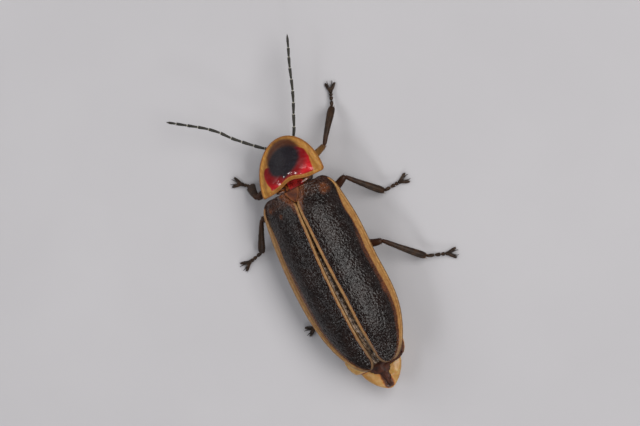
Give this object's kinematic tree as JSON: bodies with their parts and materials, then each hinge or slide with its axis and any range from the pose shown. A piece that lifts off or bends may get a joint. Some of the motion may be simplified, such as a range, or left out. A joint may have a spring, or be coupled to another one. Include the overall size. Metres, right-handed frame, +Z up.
{
  "type": "firefly",
  "caption": "Life-size firefly standing on six legs, wing cases folded over its back, head under a broad shield.",
  "frame": {"origin": "middle of the whole animal's footprint, on the floor it stands on", "axes": "+Z up from the floor; +Y from head to tail; the head and feelers point along -Y; +X is the animal's own left"},
  "size_m": [0.0106, 0.0186, 0.0033],
  "materials": {
    "shield_horn": "horn-like pronotum with a tan rim, rosy flanks and a black spot",
    "wing_case_brown": "dark brown leathery wing case with a pale rim and short hair",
    "wing_film": "smoky folded wing membrane with a slight gloss",
    "scutellum_amber": "amber brown chitin",
    "neck_pink": "rosy moist-looking membrane",
    "trunk_brown": "dark brown chitin with fine hair",
    "lantern_cream": "pale cream yellow light organ",
    "tail_plate_brown": "dark red-brown plate",
    "head_brown": "dark brown chitin",
    "eye_black": "glossy black compound eye",
    "leg_brown": "dark brown chitin with fine hair",
    "feeler_black": "blackish chitin with cream joint rings"
  },
  "bodies": {
    "root": {"pronotum": "shield_horn", "elytron_left": "wing_case_brown", "elytron_right": "wing_case_brown", "hindwing_left": "wing_film", "hindwing_right": "wing_film", "scutellum": "scutellum_amber", "mesonotum": "neck_pink", "prothorax": "trunk_brown", "thorax": "trunk_brown", "abdomen": "trunk_brown", "lantern": "lantern_cream", "pygidium": "tail_plate_brown", "head": "head_brown", "mouthparts": "head_brown", "eye_left": "eye_black", "eye_right": "eye_black", "antenna_left": "feeler_black", "antenna_right": "feeler_black", "leg_front_left": "leg_brown", "leg_middle_left": "leg_brown", "leg_hind_left": "leg_brown", "leg_front_right": "leg_brown", "leg_middle_right": "leg_brown", "leg_hind_right": "leg_brown"}
  },
  "joints": []
}
